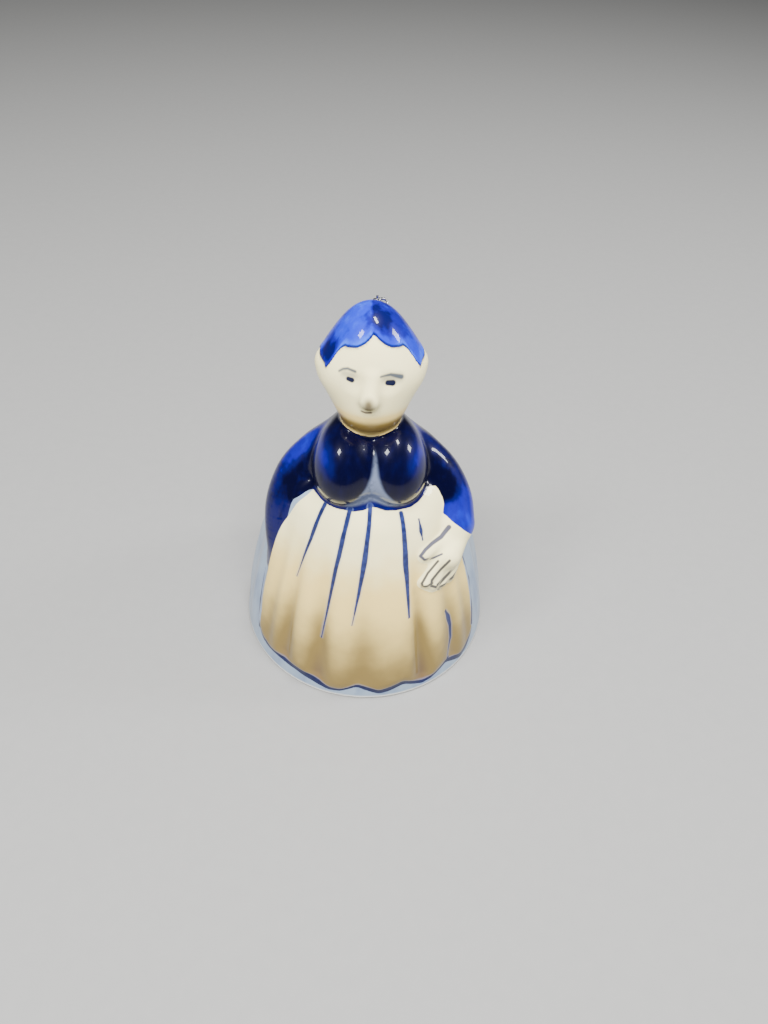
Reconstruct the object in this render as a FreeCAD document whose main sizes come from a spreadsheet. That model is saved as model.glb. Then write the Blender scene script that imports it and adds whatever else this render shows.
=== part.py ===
"""Porcelain table bell in the shape of a woman in a wide skirt and apron.

The glazed figure is one hollow firing: the skirt is the bell, and the body and head are its grip. A
wire goes through two holes behind the crown, down the hollow head and neck, and ends in an eye under
the shoulders. A plug of plaster in the neck holds it. A chain of links hangs from the eye and carries
the clapper, a porcelain bead on a headed pin.

Millimetres. +Z is up, the figure faces -Y, and the origin is the centre of the ring that it stands on.
"""
import FreeCAD
import Part
import math
import os
import Sketcher
from FreeCAD import Placement, Rotation, Vector

doc = FreeCAD.newDocument("PorcelainBell")

# ---------------------------------------------------------------- driving dimensions
LINK_COUNT = 5
FRONT_FLUTES = 7
BACK_FOLDS = 9
DIMENSIONS = {
    "skirt_arc_radius": (170.0, "radius of the arc that the side of the skirt follows"),
    "skirt_centre_inset": (139.3, "how far that arc's centre lies beyond the axis"),
    "skirt_centre_height": (-22.0, "height of that arc's centre"),
    "wall": (3.0, "thickness of the skirt"),
    "rim_bevel": (0.7, "bevel at the outer edge of the foot ring"),
    "waist_height": (47.0, "where the skirt meets the bodice"),
    "chest_radius": (11.0, "bodice at the chest, without bust and sleeves"),
    "chest_height": (52.0, "height of the chest"),
    "neck_radius": (6.4, "outside of the neck"),
    "neck_base_height": (57.0, "where the shoulders meet the neck"),
    "neck_top_height": (64.0, "top of the neck, inside the head"),
    "apron_lift": (0.5, "how far the apron stands out of the skirt"),
    "apron_angle": (128.0, "how far the apron goes round the skirt, in degrees"),
    "apron_bottom": (2.5, "height of the apron's hem"),
    "apron_top": (45.5, "height of the apron's waistband"),
    "flute_radius": (3.4, "radius of the hollow between two pleats"),
    "flute_depth": (0.9, "depth of that hollow at the hem; it runs out at the waist"),
    "flute_step": (17.0, "degrees from one hollow to the next"),
    "fold_depth": (0.4, "depth at the hem of a fold in the back of the skirt"),
    "fold_step": (24.0, "degrees from one such fold to the next"),
    "bust_width": (6.2, "half the width of one half of the bodice's front"),
    "bust_depth": (8.4, "half its depth"),
    "bust_tall": (5.6, "half its height"),
    "shoulder_radius": (4.4, "sleeve at the shoulder"),
    "elbow_radius": (4.1, "sleeve at the elbow"),
    "cuff_radius": (3.9, "sleeve at the left cuff"),
    "sleeve_tip": (0.9, "sleeve's end where it goes in behind the apron's edge"),
    "hand_length": (6.0, "half the length of the hand"),
    "hand_width": (3.4, "half its width"),
    "hand_thickness": (2.2, "half its thickness"),
    "head_width": (9.8, "half the width of the head"),
    "head_depth": (9.2, "half its depth"),
    "head_tall": (10.0, "half its height"),
    "cap_width": (10.0, "half the width of the cap"),
    "cap_depth": (9.8, "half its depth"),
    "cap_tall": (10.6, "half its height, if it went all round"),
    "crown_radius": (5.3, "rounding of the cap's crown"),
    "chin_radius": (6.8, "rounding of the jaw"),
    "hair_width": (2.2, "half the width of the rolled hair at a side of the head"),
    "hair_depth": (2.6, "half its depth"),
    "hair_tall": (3.3, "half its height"),
    "head_hollow_width": (6.5, "half the width and depth of the hollow in the head"),
    "head_hollow_tall": (8.6, "half its height"),
    "neck_bore": (3.0, "radius of the hole through the neck"),
    "dome_height": (49.5, "top of the bell's hollow"),
    "dome_shoulder": (42.0, "height where the hollow's side turns in to its top"),
    "wire_radius": (0.25, "suspension wire"),
    "wire_room": (0.12, "room around the wire in the crown's holes"),
    "leg_spread": (1.25, "half the distance between the wire's two legs in the neck"),
    "wire_bow": (0.5, "bend of the wire's bow behind the crown"),
    "wire_wrap": (0.56, "turn that the wire's end takes round its other leg"),
    "wire_end": (0.85, "length of that leg beyond the turn"),
    "eye_height": (44.5, "lowest point of the wire's eye, at the middle of the wire"),
    "plug_bottom": (50.5, "lower end of the plaster plug"),
    "plug_top": (58.5, "upper end of the plaster plug"),
    "link_wire": (0.4, "radius of a chain link's wire"),
    "link_bend": (1.45, "bend at a link's end, at the middle of the wire"),
    "link_reach": (5.2, "length of a link, from the middle of the wire at one end to the other"),
    "link_play": (0.06, "free play between two linked wires"),
    "pin_radius": (0.35, "wire of the clapper's pin"),
    "pin_eye": (1.3, "radius of that pin's eye, at the middle of the wire"),
    "pin_gap": (0.4, "gap between the pin's eye and the bead"),
    "bead_radius": (5.5, "clapper bead"),
    "bead_flat": (0.2, "how much is ground off the bead at each end of its hole"),
    "bead_room": (0.07, "room around the pin in the bead"),
    "pin_head": (0.95, "radius of the ball at the pin's lower end"),
}
# Middles of the figure's limbs and of its head, and the corners of the wire behind the crown.
PLACES = {
    "bust": (4.9, -7.6, 51.8),
    "shoulder": (11.0, -1.8, 49.0),
    "elbow": (17.4, -5.0, 41.0),
    "cuff": (18.3, -9.4, 37.0),
    "hand": (14.8, -15.2, 33.2),
    "fingertip": (12.2, -19.0, 28.4),
    "sleeve_end": (-21.4, -9.8, 26.5),
    "head": (0.0, -1.3, 70.8),
    "chin": (0.0, -3.0, 65.2),
    "cap": (0.0, 0.1, 71.0),
    "crown": (0.0, 0.0, 78.1),
    "hair": (8.3, -1.8, 71.0),
    "neck": (0.0, 0.0, 60.0),
    "knot": (1.0, 6.7, 80.4),
    "right_hole": (2.76, 5.6, 80.1),
    "bow_right": (3.06, 6.3, 80.4),
    "bow_top": (2.33, 6.6, 80.74),
}

sheet = doc.addObject("Spreadsheet::Sheet", "Size")
for row, (alias, (value, note)) in enumerate(DIMENSIONS.items(), 1):
    sheet.set(f"A{row}", note)
    sheet.set(f"B{row}", str(value))
    sheet.setAlias(f"B{row}", alias)
for row, (alias, place) in enumerate(PLACES.items(), len(DIMENSIONS) + 1):
    sheet.set(f"A{row}", f"{alias}: x, y and z")
    for column, letter, value in zip("BCD", "xyz", place):
        sheet.set(f"{column}{row}", str(value))
        sheet.setAlias(f"{column}{row}", f"{alias}_{letter}")
doc.recompute()


# ---------------------------------------------------------------- helpers
UP = Vector(0, 0, 1)


def dim(expression):
    """The value of an expression in Size.alias names; the first name may leave out its Size."""
    if expression.split()[0] in DIMENSIONS:
        expression = f"Size.{expression}"
    return float(sheet.evalExpression(expression))


def bind(feature, **sizes):
    """Ties properties of a feature to expressions."""
    for name, expression in sizes.items():
        feature.setExpression(name, expression)
    return feature


def spot(place, side=1):
    """A named place; side -1 mirrors it to the figure's right hand side, at -X."""
    x, y, z = (dim(f"Size.{place}_{letter}") for letter in "xyz")
    return Vector(side * x, y, z)


def primitive(kind, name, at=Vector(), turn=None, **sizes):
    """A Part primitive whose sizes follow the sheet."""
    feature = doc.addObject(f"Part::{kind}", name)
    feature.Placement = Placement(at, turn or Rotation())
    return bind(feature, **sizes)


def ball(name, at, radius):
    return primitive("Sphere", name, at, Radius=radius)


def ellipsoid(name, at, width, depth, tall, turn=None):
    """An ellipsoid with half its width along X, half its depth along Y and half its height along Z."""
    feature = primitive("Ellipsoid", name, at, turn, Radius1=tall, Radius2=width, Radius3=depth)
    feature.Angle1, feature.Angle2, feature.Angle3 = -90, 90, 360
    return feature


def limb(name, start, end, start_radius, end_radius):
    """A round bar between two points, as a cone, or as a cylinder if both radii are the same."""
    along = Rotation(Vector(0, 0, 1), end - start)
    if start_radius == end_radius:
        bar = primitive("Cylinder", name, start, along, Radius=start_radius)
    else:
        bar = primitive("Cone", name, start, along, Radius1=start_radius, Radius2=end_radius)
    bar.Height = (end - start).Length
    return bar


def fuse(name, shapes):
    feature = doc.addObject("Part::MultiFuse", name)
    feature.Shapes = shapes
    return feature


def join(name, shapes):
    """Fuses shapes one after the other, which is safer where many overlap in one place."""
    whole = shapes[0]
    for number, shape in enumerate(shapes[1:], 1):
        pair = doc.addObject("Part::Fuse", f"{name}_{number}")
        pair.Base, pair.Tool = whole, shape
        whole = pair
    return whole


def cut(name, base, tool):
    feature = doc.addObject("Part::Cut", name)
    feature.Base, feature.Tool = base, tool
    return feature


def fix(sketch, edge, point, along, across, expressions):
    """Fixes a point of a sketch: by its distance along X if along is set, and by its height."""
    kinds = [("DistanceX", -2, expressions[0])] if along else []
    kinds += [("DistanceY", -1, expressions[1])] if across else []
    for kind, axis, expression in kinds:
        value = dim(expression)
        if abs(value) < 1e-9:
            sketch.addConstraint(Sketcher.Constraint("PointOnObject", edge, point, axis))
        else:
            number = sketch.addConstraint(Sketcher.Constraint(kind, edge, point, value))
            sketch.setExpression(f"Constraints[{number}]", expression)


def turned(name, corners, arcs, angle="360"):
    """A body turned about Z from an outline of (radius, height) corners, each a pair of expressions.

    The edge that starts at a corner is straight, or an arc if arcs gives its centre and radius; an arc
    runs anticlockwise. Where an arc with a fixed centre starts or ends, it sets that corner's radius.
    """
    body = doc.addObject("PartDesign::Body", name)
    sketch = body.newObject("Sketcher::SketchObject", f"{name}_outline")
    plane = next(p for p in body.Origin.OriginFeatures if p.Role == "XZ_Plane")
    sketch.AttachmentSupport = [(plane, "")]
    sketch.MapMode = "FlatFace"
    places = [Vector(dim(x), dim(y), 0) for x, y in corners]
    count = len(places)
    for i, start in enumerate(places):
        end = places[(i + 1) % count]
        if i in arcs:
            x, y, radius = (dim(e) for e in arcs[i])
            circle = Part.Circle(Vector(x, y, 0), Vector(0, 0, 1), radius)
            first, last = circle.parameter(start), circle.parameter(end)
            last += 2 * math.pi * (last < first)
            sketch.addGeometry(Part.ArcOfCircle(circle, first, last), False)
        else:
            sketch.addGeometry(Part.LineSegment(start, end), False)
    for i in range(count):
        sketch.addConstraint(Sketcher.Constraint("Coincident", i, 2, (i + 1) % count, 1))
    for i, corner in enumerate(corners):
        on_arc = i in arcs or (i - 1) % count in arcs
        fix(sketch, i, 1, not on_arc, True, corner)
    for i, (x, y, radius) in arcs.items():
        fix(sketch, i, 3, True, True, (x, y))
        number = sketch.addConstraint(Sketcher.Constraint("Radius", i, dim(radius)))
        sketch.setExpression(f"Constraints[{number}]", radius)
    turn = body.newObject("PartDesign::Revolution", f"{name}_turned")
    turn.Profile = sketch
    turn.ReferenceAxis = (sketch, ["V_Axis"])
    turn.Midplane = True
    bind(turn, Angle=angle)
    body.Tip = turn
    return body


def arc_side(lift, height):
    """Expression for the radius at a height, on the skirt's arc moved out by an expression."""
    radius = f"(Size.skirt_arc_radius + {lift})"
    rise = f"({height} - Size.skirt_centre_height)"
    return f"sqrt({radius}^2 - {rise}^2) - Size.skirt_centre_inset"


def skirt_arc(lift):
    """Centre and radius of the skirt's arc, moved out by an expression."""
    return "-Size.skirt_centre_inset", "Size.skirt_centre_height", f"Size.skirt_arc_radius + {lift}"


def outward(angle):
    """The level direction at an angle from the front, positive towards +X."""
    turn = math.radians(angle)
    return Vector(math.sin(turn), -math.cos(turn), 0)


def hollow(name, angle, lift, depth):
    """A cutter for one hollow down the skirt: part of a ring in the upright plane at an angle.

    The ring shares the skirt arc's centre, raised so that the hollow runs out at the waist.
    """
    low = "Size.skirt_centre_height"
    rise = dim(f"{depth} * Size.skirt_arc_radius / Size.waist_height")
    ring = f"Size.skirt_arc_radius + {lift} + Size.flute_radius"
    ring = f"{ring} - {depth} * (Size.waist_height - {low}) / Size.waist_height"
    middle_height = dim(low) + rise
    first = math.asin((-RING_BELOW - middle_height) / dim(ring))
    last = math.asin((dim("apron_top") - middle_height) / dim(ring))
    out, up = outward(angle), Vector(0, 0, 1)
    start = out * math.cos(first) + up * math.sin(first)
    rising = up * math.cos(first) - out * math.sin(first)
    frame = Rotation(start, rising, start.cross(rising), "XYZ")
    middle = out * -dim("skirt_centre_inset") + up * middle_height
    cutter = primitive("Torus", name, middle, frame, Radius1=ring, Radius2="Size.flute_radius")
    cutter.Angle3 = math.degrees(last - first)
    return cutter


def hollows(name, count, middle, step, lift, depth):
    """A row of such cutters, centred on an angle."""
    first = middle - dim(step) * (count - 1) / 2
    row = [hollow(f"{name}_{i + 1}", first + i * dim(step), lift, depth) for i in range(count)]
    return fuse(f"{name}_row", row)


# ---------------------------------------------------------------- porcelain body
RING_BELOW = 5.0
FACE_TILT = 38.0
CUTTER_SIZE = 40.0


def skirt():
    """The solid skirt and bodice up to the neck, with the apron on it and the pleats cut."""
    outline = [
        ("0", "0"),
        (f"{arc_side('0', '0')} - Size.rim_bevel", "0"),
        (arc_side("0", "Size.rim_bevel"), "Size.rim_bevel"),
        (arc_side("0", "Size.waist_height"), "Size.waist_height"),
        ("Size.chest_radius", "Size.chest_height"),
        ("Size.neck_radius", "Size.neck_base_height"),
        ("Size.neck_radius", "Size.neck_top_height"),
        ("0", "Size.neck_top_height"),
    ]
    figure = turned("bell_outside", outline, {2: skirt_arc("0")})
    inside = "-Size.wall / 2"
    apron_outline = [
        (arc_side(inside, "Size.apron_bottom"), "Size.apron_bottom"),
        (arc_side("Size.apron_lift", "Size.apron_bottom"), "Size.apron_bottom"),
        (arc_side("Size.apron_lift", "Size.apron_top"), "Size.apron_top"),
        (arc_side(inside, "Size.apron_top"), "Size.apron_top"),
    ]
    apron = turned("apron", apron_outline, {1: skirt_arc("Size.apron_lift")}, "Size.apron_angle")
    apron.Placement = Placement(Vector(), Rotation(Vector(0, 0, 1), -90))
    pleats = hollows("flute", FRONT_FLUTES, 0, "flute_step", "Size.apron_lift", "Size.flute_depth")
    folds = hollows("fold", BACK_FOLDS, 180, "fold_step", "0", "Size.fold_depth")
    return cut("pleated_skirt", fuse("dressed_skirt", [figure, apron]), fuse("hollows", [pleats, folds]))


def sleeves():
    """Bust, both sleeves and the hand on the apron."""
    bust_sizes = ("Size.bust_width", "Size.bust_depth", "Size.bust_tall")
    parts = [ellipsoid(f"bust_{side:+d}", spot("bust", side), *bust_sizes) for side in (-1, 1)]
    for side in (-1, 1):
        shoulder, elbow = spot("shoulder", side), spot("elbow", side)
        upper = limb(f"upper_{side:+d}", shoulder, elbow, "Size.shoulder_radius", "Size.elbow_radius")
        parts += [upper, ball(f"shoulder_{side:+d}", shoulder, "Size.shoulder_radius")]
        parts.append(ball(f"elbow_{side:+d}", elbow, "Size.elbow_radius"))
    right_end = spot("sleeve_end")
    parts.append(limb("cuffed_sleeve", spot("elbow"), spot("cuff"), "Size.elbow_radius", "Size.cuff_radius"))
    parts.append(limb("hidden_sleeve", spot("elbow", -1), right_end, "Size.elbow_radius", "Size.sleeve_tip"))
    along = Rotation(Vector(0, 0, -1), spot("fingertip") - spot("hand"))
    hand_sizes = ("Size.hand_width", "Size.hand_thickness", "Size.hand_length")
    parts.append(ellipsoid("hand", spot("hand"), *hand_sizes, along))
    return parts


def head():
    """Head, jaw, cap and rolled hair."""
    skull = ellipsoid("skull", spot("head"), "Size.head_width", "Size.head_depth", "Size.head_tall")
    jaw = ball("jaw", spot("chin"), "Size.chin_radius")
    whole_cap = ellipsoid("whole_cap", spot("cap"), "Size.cap_width", "Size.cap_depth", "Size.cap_tall")
    tilt = Rotation(Vector(1, 0, 0), -FACE_TILT)
    corner = spot("cap") + tilt.multVec(Vector(-CUTTER_SIZE / 2, -CUTTER_SIZE / 2, -CUTTER_SIZE))
    face_side = doc.addObject("Part::Box", "face_side")
    face_side.Length = face_side.Width = face_side.Height = CUTTER_SIZE
    face_side.Placement = Placement(corner, tilt)
    cap = cut("cap", whole_cap, face_side)
    crown = ball("crown", spot("crown"), "Size.crown_radius")
    hair_sizes = ("Size.hair_width", "Size.hair_depth", "Size.hair_tall")
    hair = [ellipsoid(f"hair_{side:+d}", spot("hair", side), *hair_sizes) for side in (-1, 1)]
    return [skull, jaw, cap, crown, *hair]


def inside():
    """Cutters for all that is hollow: the bell with the neck, the head and the wire's two holes."""
    below = "-Size.rim_bevel"
    wall = "-Size.wall"
    outline = [
        ("0", below),
        (arc_side(wall, below), below),
        (arc_side(wall, "Size.dome_shoulder"), "Size.dome_shoulder"),
        ("Size.neck_bore", "Size.dome_height"),
        ("Size.neck_bore", "Size.neck_top_height"),
        ("0", "Size.neck_top_height"),
    ]
    bell = turned("bell_hollow", outline, {1: skirt_arc(wall)})
    width, tall = "Size.head_hollow_width", "Size.head_hollow_tall"
    skull = ellipsoid("head_hollow", Vector(0, 0, dim("Size.head_z")), width, width, tall)
    room = "Size.wire_radius + Size.wire_room"
    holes = []
    for side, place in ((-1, "knot"), (1, "right_hole")):
        start = spot("neck") + Vector(side * dim("leg_spread"), 0, 0)
        beyond = spot(place) + (spot(place) - start) * 0.1
        holes.append(limb(f"leg_hole_{side:+d}", start, beyond, room, room))
    return [bell, skull, *holes]


porcelain_body = join("figure", [skirt(), *sleeves(), *head()])
for cutter in inside():
    porcelain_body = cut(f"without_{cutter.Name}", porcelain_body, cutter)


# ---------------------------------------------------------------- wire, plug, chain and clapper
def rounded_path(name, points, bends):
    """A path of straight runs through points, with an arc of a given bend at each inner one."""
    edges = []
    end = points[0]
    for before, corner, after, bend in zip(points, points[1:], points[2:], bends):
        back, on = (before - corner).normalize(), (after - corner).normalize()
        half = back.getAngle(on) / 2
        first, last = (corner + way * (bend / math.tan(half)) for way in (back, on))
        middle = corner + (back + on).normalize() * (bend / math.sin(half) - bend)
        if (first - end).Length > 1e-6:
            edges.append(Part.LineSegment(end, first).toShape())
        edges.append(Part.Arc(first, middle, last).toShape())
        end = last
    edges.append(Part.LineSegment(end, points[-1]).toShape())
    path = doc.addObject("Part::Feature", name)
    path.Shape = Part.Wire(edges)
    return path


def bent_wire(name, points, bends, radius):
    """A round wire along such a path."""
    path = rounded_path(f"{name}_path", points, bends)
    along = Rotation(Vector(0, 0, 1), points[1] - points[0])
    section = primitive("Circle", f"{name}_section", points[0], along, Radius=radius)
    wire = doc.addObject("Part::Sweep", name)
    wire.Sections = [section]
    wire.Spine = (path, [f"Edge{i + 1}" for i in range(len(path.Shape.Edges))])
    wire.Solid = True
    return wire


def suspension_wire():
    """One wire: an eye, two legs up through the crown, and a bow whose end is wrapped round a leg."""
    spread, bow = dim("leg_spread"), dim("wire_bow")
    foot = [Vector(side * spread, 0, dim("eye_height")) for side in (-1, 1)]
    bend_up = [spot("neck") + Vector(side * spread, 0, 0) for side in (-1, 1)]
    knot = spot("knot")
    leg_way = (knot - bend_up[0]).normalize()
    points = [knot + leg_way * dim("wire_end"), bend_up[0], *foot, bend_up[1]]
    points += [spot("right_hole"), spot("bow_right"), spot("bow_top"), knot + Vector(0, dim("wire_wrap"), 0)]
    bends = [bow, spread, spread, bow, bow, bow, bow]
    run = bent_wire("wire_run", points, bends, "Size.wire_radius")
    turn = Rotation(Vector(0, 0, 1), leg_way)
    sizes = {"Radius1": "Size.wire_wrap", "Radius2": "Size.wire_radius"}
    return join("tied_wire", [run, primitive("Torus", "wire_knot", knot, turn, **sizes)])


def plaster_plug():
    """The plug in the neck, cast round the wire's legs."""
    plug = primitive("Cylinder", "whole_plug", Vector(0, 0, dim("plug_bottom")), Radius="Size.neck_bore")
    bind(plug, Height="Size.plug_top - Size.plug_bottom")
    for side in (-1, 1):
        across = Vector(side * dim("leg_spread"), 0, 0)
        ends = (across + UP * dim("plug_bottom"), across + UP * dim("plug_top"))
        leg = limb(f"leg_way_{side:+d}", *ends, "Size.wire_radius", "Size.wire_radius")
        plug = cut(f"plug_{side:+d}", plug, leg)
    return plug


def chain_link(number, top, side):
    """A long round link in the plane of Z and a level direction, its wire's middle at a top height."""
    sizes = {"Radius1": "Size.link_bend", "Radius2": "Size.link_wire"}
    bend, reach = dim("link_bend"), dim("link_reach")
    parts = []
    for end, height in ((1, top - bend), (-1, top - reach + bend)):
        frame = Rotation(side * end, UP * end, side.cross(UP), "XYZ")
        arch = primitive("Torus", f"link_{number}_arch", Vector(0, 0, height), frame, **sizes)
        arch.Angle3 = 180
        bar = primitive("Cylinder", f"link_{number}_bar", side * (end * bend) + UP * (top - reach + bend))
        bind(bar, Radius="Size.link_wire", Height="Size.link_reach - 2 * Size.link_bend")
        parts += [arch, bar]
    return join(f"link_{number}", parts)


def clapper_pin(hang):
    """The headed pin below a height where it hangs, with its eye in the plane of X and Z."""
    eye_middle = hang - dim("pin_eye") + dim("link_wire + Size.link_play + Size.pin_radius")
    frame = Rotation(Vector(1, 0, 0), UP, Vector(0, -1, 0), "XYZ")
    sizes = {"Radius1": "Size.pin_eye", "Radius2": "Size.pin_radius"}
    eye = primitive("Torus", "pin_ring", Vector(0, 0, eye_middle), frame, **sizes)
    eye_bottom = eye_middle - dim("pin_eye")
    bead_top = eye_bottom - dim("pin_radius + Size.pin_gap")
    bead_middle = bead_top - dim("bead_radius - Size.bead_flat")
    bore = "(Size.pin_radius + Size.bead_room)"
    seat = dim(f"sqrt(Size.pin_head^2 - {bore}^2) + Size.link_play / 2")
    head_middle = Vector(0, 0, 2 * bead_middle - bead_top - seat)
    shank = limb("pin_shank", head_middle, UP * eye_bottom, "Size.pin_radius", "Size.pin_radius")
    return join("pin", [eye, shank, ball("pin_ball", head_middle, "Size.pin_head")]), bead_middle


def clapper_bead(middle):
    """The bead on the pin: a ball with a hole, ground flat at both ends of the hole."""
    half = dim("bead_radius - Size.bead_flat")
    slab = primitive("Cylinder", "bead_slab", UP * (middle - half), Radius="Size.bead_radius + 1")
    bind(slab, Height="2 * (Size.bead_radius - Size.bead_flat)")
    flattened = doc.addObject("Part::Common", "flat_bead")
    flattened.Base, flattened.Tool = ball("bead_ball", UP * middle, "Size.bead_radius"), slab
    bore = "Size.pin_radius + Size.bead_room"
    ends = (UP * (middle - 2 * half), UP * (middle + 2 * half))
    return cut("bored_bead", flattened, limb("bead_hole", *ends, bore, bore))


finished = {"hanger_wire": suspension_wire(), "neck_plug": plaster_plug()}
hang = dim("eye_height")
above = "wire_radius"
for number in range(1, LINK_COUNT + 1):
    top = hang + dim(f"{above} + Size.link_play + Size.link_wire")
    side = Vector(0, 1, 0) if number % 2 else Vector(1, 0, 0)
    finished[f"chain_link_{number}"] = chain_link(number, top, side)
    hang = top - dim("link_reach")
    above = "link_wire"
finished["clapper_pin"], bead_middle = clapper_pin(hang)
finished["clapper_bead"] = clapper_bead(bead_middle)
finished["porcelain_body"] = porcelain_body


# ---------------------------------------------------------------- check and write
doc.recompute()
for feature in doc.Objects:
    bad = [state for state in feature.State if state in ("Invalid", "Error")]
    if bad:
        raise RuntimeError(f"{feature.Name} is {bad}")
os.makedirs("parts", exist_ok=True)
for name, feature in finished.items():
    feature.Label = name
    shape = feature.Shape
    if shape.isNull() or not shape.isValid() or len(shape.Solids) != 1:
        raise RuntimeError(f"{name} is not one valid solid")
    shape.exportStep(f"parts/{name}.step")
    print(f"{name}: {shape.Volume:.1f} mm3")
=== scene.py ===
"""Looks of a glazed porcelain table bell shaped like a little figure in a wide skirt.

The porcelain is sculpted as one signed distance field, in millimetres, meshed with a
surface net and closed by a turned inner wall. Its underglaze painting is kept as smooth
fields on the mesh, which the glaze material turns into crisp washes and brush strokes.
"""
import math

import bpy
import numpy as np
from mathutils import Matrix, Vector


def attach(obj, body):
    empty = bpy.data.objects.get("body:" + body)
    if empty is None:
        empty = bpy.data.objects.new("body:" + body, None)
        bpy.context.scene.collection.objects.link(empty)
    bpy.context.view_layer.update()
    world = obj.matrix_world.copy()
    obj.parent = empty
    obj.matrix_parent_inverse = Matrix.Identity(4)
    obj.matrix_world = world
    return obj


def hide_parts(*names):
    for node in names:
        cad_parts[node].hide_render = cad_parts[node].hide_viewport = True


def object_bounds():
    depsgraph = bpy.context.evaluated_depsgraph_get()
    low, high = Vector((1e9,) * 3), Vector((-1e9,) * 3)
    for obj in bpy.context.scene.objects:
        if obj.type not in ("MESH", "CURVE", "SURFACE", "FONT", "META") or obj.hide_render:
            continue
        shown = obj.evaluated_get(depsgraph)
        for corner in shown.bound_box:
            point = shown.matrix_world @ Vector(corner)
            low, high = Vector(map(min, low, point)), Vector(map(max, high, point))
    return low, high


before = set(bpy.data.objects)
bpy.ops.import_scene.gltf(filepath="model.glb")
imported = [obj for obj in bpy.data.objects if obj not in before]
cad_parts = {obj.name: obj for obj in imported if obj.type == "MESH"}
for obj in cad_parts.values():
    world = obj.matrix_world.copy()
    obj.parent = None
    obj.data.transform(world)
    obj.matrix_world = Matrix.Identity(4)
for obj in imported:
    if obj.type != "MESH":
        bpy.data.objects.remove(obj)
cad_low, cad_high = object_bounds()

MM = 0.001
# further than anything here, too small to matter, and how often a limb's path has its corners cut
FAR = 1e3
TINY = 1e-9
CORNER_CUTS = 3

# ---- sculpting tools: every field is in millimetres, below zero inside


def ramp(value, low, high):
    """0 below low, 1 above high and a smooth rise between them."""
    t = np.clip((value - low) / (high - low), 0, 1)
    return t * t * (3 - 2 * t)


def bump(value, middle, width):
    """A smooth hill of height 1."""
    return np.exp(-(((value - middle) / width) ** 2))


def join(a, b, width):
    """The union of two fields with a soft fillet about as wide as width."""
    h = np.clip(0.5 + 0.5 * (b - a) / width, 0, 1)
    return b + (a - b) * h - width * h * (1 - h)


def meet(a, b, width):
    """The part common to two fields, with its edge rounded."""
    return -join(-a, -b, width)


def ellipsoid(points, centre, radii):
    q = points - np.array(centre)
    r = np.array(radii)
    reach = np.sqrt(((q / r) ** 2).sum(-1))
    slope = np.sqrt(((q / r**2) ** 2).sum(-1)) + TINY
    return reach * (reach - 1) / slope


def limb(points, start, end, start_radius, end_radius):
    """A round bar with round ends that tapers from start to end."""
    a = np.array(start, float)
    run = np.array(end, float) - a
    t = np.clip(((points - a) @ run) / (run @ run), 0, 1)
    gap = points - a - t[..., None] * run
    return np.sqrt((gap**2).sum(-1)) - (start_radius + (end_radius - start_radius) * t)


def bent_limb(points, path):
    """A limb along a smooth curve led by a few (x, y, z, radius) places."""
    path = [np.array(place, float) for place in path]
    for _ in range(CORNER_CUTS):
        cuts = [(0.75 * a + 0.25 * b, 0.25 * a + 0.75 * b) for a, b in zip(path, path[1:])]
        path = [path[0], *(place for pair in cuts for place in pair), path[-1]]
    nearest = np.full(points.shape[:-1], FAR)
    radius = np.zeros(points.shape[:-1])
    for a, b in zip(path, path[1:]):
        run = b[:3] - a[:3]
        t = np.clip(((points - a[:3]) @ run) / (run @ run), 0, 1)
        gap = np.linalg.norm(points - a[:3] - t[..., None] * run, axis=-1)
        radius = np.where(gap < nearest, a[3] + (b[3] - a[3]) * t, radius)
        nearest = np.minimum(gap, nearest)
    return nearest - radius


def both_sides(points, soft=0.0):
    """The points folded over to +X, so that one shape makes a left and a right one, soft mm apart."""
    folded = points.copy()
    folded[..., 0] = np.sqrt(points[..., 0] ** 2 + soft**2)
    return folded


def turn_of(points, axis_y=0.0):
    """Degrees round the upright axis: 0 in front, positive towards +X."""
    return np.degrees(np.arctan2(points[..., 0], axis_y - points[..., 1]))


# ---- the figure

# the skirt's side is an arc: its radius, how far beyond the axis its middle is, and that middle's height
SKIRT_ARC = 170.0
SKIRT_INSET = 139.3
SKIRT_LOW = -22.0
# heights between which the side follows the arc
SKIRT_SPAN = (-8, 60)
SKIRT_TOP = 49.0
SKIRT_TOP_ROUNDING = 7.0
WALL = 3.0
APRON_TURN = 64.0
APRON_LIFT = 0.45
APRON_EDGE = 1.5
# mm from the hem over which the apron rises from the skirt
HEM_RISE = (-0.6, 2.4)
# heights over which the apron's pleats fade out
PLEAT_FADE = (22, 42)
# middle and half width in degrees, and depth in mm, of each soft hollow in the apron
PLEATS = [
    (-54, 4, 0.55),
    (-42.5, 4.5, 1.3),
    (-24, 5, 1.3),
    (-3, 6, 0.7),
    (26, 4.2, 1.5),
    (44, 5, 0.85),
    (56, 4, 0.5),
]
BACK_FOLDS = 15
BACK_FOLD_DEPTH = 0.35
# degrees over which the back folds start, and heights over which they start and fade out
BACK_FOLD_TURN = (APRON_TURN + 2, APRON_TURN + 16)
BACK_FOLD_RISE = (1.5, 8)
BACK_FOLD_FADE = (25, 42)
# the wavy hem of the apron: degrees round the skirt, height in mm
HEM = [
    (-64, 7.5), (-59, 4.6), (-53, 4.0), (-43, 4.3), (-35, 4.3), (-27, 3.5), (-18, 2.0), (-12.5, 2.2),
    (-5, 4.3), (5, 2.1), (10, 2.8), (16, 4.0), (21, 2.9), (26, 1.7), (31, 2.2), (39.5, 4.4),
    (49, 1.8), (55, 2.5), (61, 4.6), (64, 8.0),
]
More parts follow.
